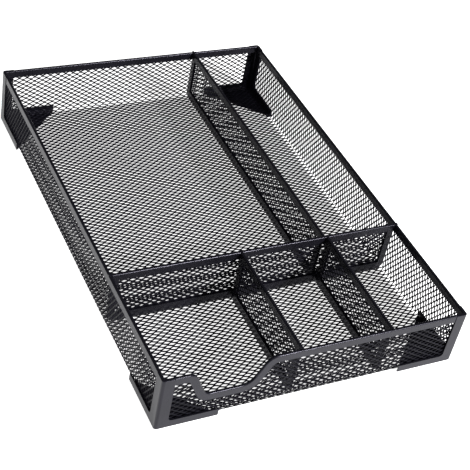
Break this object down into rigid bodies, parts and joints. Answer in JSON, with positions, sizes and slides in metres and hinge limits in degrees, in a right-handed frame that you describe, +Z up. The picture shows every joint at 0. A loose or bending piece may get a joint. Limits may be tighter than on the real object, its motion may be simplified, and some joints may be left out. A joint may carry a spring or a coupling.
{
  "type": "drawer organizer insert",
  "caption": "Shallow rectangular black mesh drawer organizer tray with folded metal rims, corner brackets, mesh dividers and a scooped front edge.",
  "frame": {"origin": "centre of the tray's plan, on the plane that its corner feet rest on", "axes": "+X across the tray to its right, +Y from the scooped front edge to the back, +Z up"},
  "size_m": [0.254, 0.381, 0.051],
  "materials": {
    "mesh": "black powder coat on expanded steel, semi-matte",
    "rims": "black powder coat on folded strip, semi-matte, fine texture",
    "brackets": "black powder coat on pressed sheet, semi-matte, fine texture",
    "divider_edging": "black powder coat on folded strip, semi-matte"
  },
  "bodies": {
    "root": {"bracket_back_left": "brackets", "bracket_back_right": "brackets", "bracket_front_left": "brackets", "bracket_front_right": "brackets", "cross_divider_bottom_strip": "divider_edging", "cross_divider_end_strip": "divider_edging", "cross_divider_mesh": "mesh", "cross_divider_start_strip": "divider_edging", "cross_divider_top_strip": "divider_edging", "long_divider_bottom_strip": "divider_edging", "long_divider_end_strip": "divider_edging", "long_divider_mesh": "mesh", "long_divider_start_strip": "divider_edging", "long_divider_top_strip": "divider_edging", "mesh_basket": "mesh", "rim_back": "rims", "rim_front": "rims", "rim_left": "rims", "rim_right": "rims", "short_divider_left_bottom_strip": "divider_edging", "short_divider_left_end_strip": "divider_edging", "short_divider_left_mesh": "mesh", "short_divider_left_start_strip": "divider_edging", "short_divider_left_top_strip": "divider_edging", "short_divider_right_bottom_strip": "divider_edging", "short_divider_right_end_strip": "divider_edging", "short_divider_right_mesh": "mesh", "short_divider_right_start_strip": "divider_edging", "short_divider_right_top_strip": "divider_edging"}
  },
  "joints": []
}
